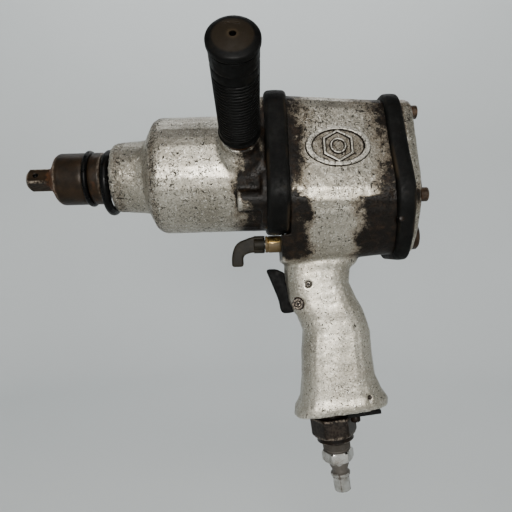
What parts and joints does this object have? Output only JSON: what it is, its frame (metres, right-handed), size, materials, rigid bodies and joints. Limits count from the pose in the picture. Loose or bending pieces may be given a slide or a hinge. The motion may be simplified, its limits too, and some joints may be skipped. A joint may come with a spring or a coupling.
{
  "type": "air impact wrench",
  "caption": "Pistol-grip air impact wrench with a square drive, a radial side handle, a trigger, a reverse lever and an air plug.",
  "frame": {"origin": "centre of the drive square's end face, on the spindle axis", "axes": "-X points out of the drive end along the spindle, +X to the rear cover; the pistol grip hangs towards -Z and the side handle stands out towards -Y"},
  "size_m": [0.291, 0.18, 0.3059],
  "materials": {
    "cast_alloy": "worn silver lacquer over a cast alloy, greasy and pitted",
    "rusty_steel": "dark brown oxide with rust and oil",
    "bright_steel": "machined, bright",
    "plated_plug": "nickel plate with light scratches",
    "brass": "machined, oily",
    "black_rubber": "dull, scuffed and dusty",
    "black_plastic": "moulded, satin",
    "iron": "oiled machined iron",
    "gasket_paper": "oiled fibre sheet",
    "felt": "oily felt",
    "blade_resin": "resin bonded cloth"
  },
  "bodies": {
    "housing": {"motor_housing": "cast_alloy", "hammer_case": "cast_alloy", "front_bumper": "black_rubber", "rear_bumper": "black_rubber", "rear_cover": "cast_alloy", "housing_bolt_1": "rusty_steel", "housing_bolt_2": "rusty_steel", "housing_bolt_3": "rusty_steel", "housing_bolt_4": "rusty_steel", "anvil_bushing": "brass", "case_gasket": "gasket_paper", "cover_gasket": "gasket_paper", "handle_bar": "rusty_steel", "handle_grip": "black_rubber", "trigger_pivot": "bright_steel", "throttle_roll_pin": "rusty_steel", "throttle_bushing": "brass", "throttle_spring": "bright_steel", "reverse_bushing": "brass", "inlet_bushing": "rusty_steel", "inlet_screen": "brass", "air_plug": "plated_plug", "exhaust_plate": "black_plastic", "exhaust_screw": "rusty_steel", "muffler_felt": "felt", "cylinder": "iron", "front_end_plate": "iron", "rear_end_plate": "iron", "front_bearing_outer": "bright_steel", "rear_bearing_outer": "bright_steel", "bumper_screw": "rusty_steel"},
    "rotor": {"rotor": "iron", "rotor_blade_1": "blade_resin", "rotor_blade_2": "blade_resin", "rotor_blade_3": "blade_resin", "rotor_blade_4": "blade_resin", "rotor_blade_5": "blade_resin", "rotor_blade_6": "blade_resin", "front_bearing_inner": "bright_steel", "rear_bearing_inner": "bright_steel", "hammer_cage": "iron", "hammer_pin_1": "bright_steel", "hammer_pin_2": "bright_steel"},
    "hammer_1": {"hammer_1": "iron"},
    "hammer_2": {"hammer_2": "iron"},
    "front_balls": {"front_bearing_balls": "bright_steel"},
    "rear_balls": {"rear_bearing_balls": "bright_steel"},
    "anvil": {"anvil": "iron", "socket_adapter": "rusty_steel", "adapter_ring": "black_rubber", "adapter_pin": "bright_steel"},
    "spare_ring": {"spare_ring": "black_rubber"},
    "trigger": {"trigger": "black_plastic"},
    "throttle": {"throttle_stem": "bright_steel", "throttle_disc": "black_rubber"},
    "reverse": {"reverse_lever": "rusty_steel", "reverse_valve": "iron", "detent_ball": "bright_steel", "detent_spring": "bright_steel"},
    "regulator": {"regulator_knob": "rusty_steel"}
  },
  "joints": [
    {"name": "rotor_spin", "type": "hinge", "parent": "housing", "child": "rotor", "pos_m": [0.22, 0, 0], "axis": [1, 0, 0], "continuous": true},
    {"name": "front_balls_roll", "type": "hinge", "parent": "housing", "child": "front_balls", "pos_m": [0.188, 0, 0], "axis": [1, 0, 0], "continuous": true},
    {"name": "rear_balls_roll", "type": "hinge", "parent": "housing", "child": "rear_balls", "pos_m": [0.2565, 0, 0], "axis": [1, 0, 0], "continuous": true},
    {"name": "hammer_1_swing", "type": "hinge", "parent": "rotor", "child": "hammer_1", "pos_m": [0.123, 0, 0.0265], "axis": [1, 0, 0], "range_deg": [-3.5, 3.5]},
    {"name": "hammer_2_swing", "type": "hinge", "parent": "rotor", "child": "hammer_2", "pos_m": [0.148, 0, -0.0265], "axis": [1, 0, 0], "range_deg": [-3.5, 3.5]},
    {"name": "anvil_spin", "type": "hinge", "parent": "housing", "child": "anvil", "pos_m": [0.06, 0, 0], "axis": [1, 0, 0], "continuous": true},
    {"name": "spare_ring_roll", "type": "hinge", "parent": "housing", "child": "spare_ring", "pos_m": [0.063, 0, 0], "axis": [1, 0, 0], "continuous": true},
    {"name": "trigger_pull", "type": "hinge", "parent": "housing", "child": "trigger", "pos_m": [0.1987, 0, -0.0972], "axis": [0, 1, 0], "range_deg": [0, 9], "stiffness_Nm_per_rad": 1, "springref_deg": -8.59},
    {"name": "throttle_push", "type": "slide", "parent": "housing", "child": "throttle", "axis": [1, 0, 0], "range_m": [0, 0.003], "deforming": ["throttle_spring"]},
    {"name": "reverse_turn", "type": "hinge", "parent": "housing", "child": "reverse", "pos_m": [0.19, 0, -0.0532], "axis": [1, 0, 0], "range_deg": [-40, 40]},
    {"name": "regulator_turn", "type": "hinge", "parent": "housing", "child": "regulator", "pos_m": [0.285, 0, -0.0501], "axis": [1, 0, 0], "range_deg": [0, 180]}
  ],
  "couplings": [
    {"joint": "front_balls_roll", "follows": "rotor_spin", "ratio": 0.4},
    {"joint": "rear_balls_roll", "follows": "rotor_spin", "ratio": 0.4},
    {"joint": "throttle_push", "follows": "trigger_pull", "m_per_rad": 0.0189}
  ]
}
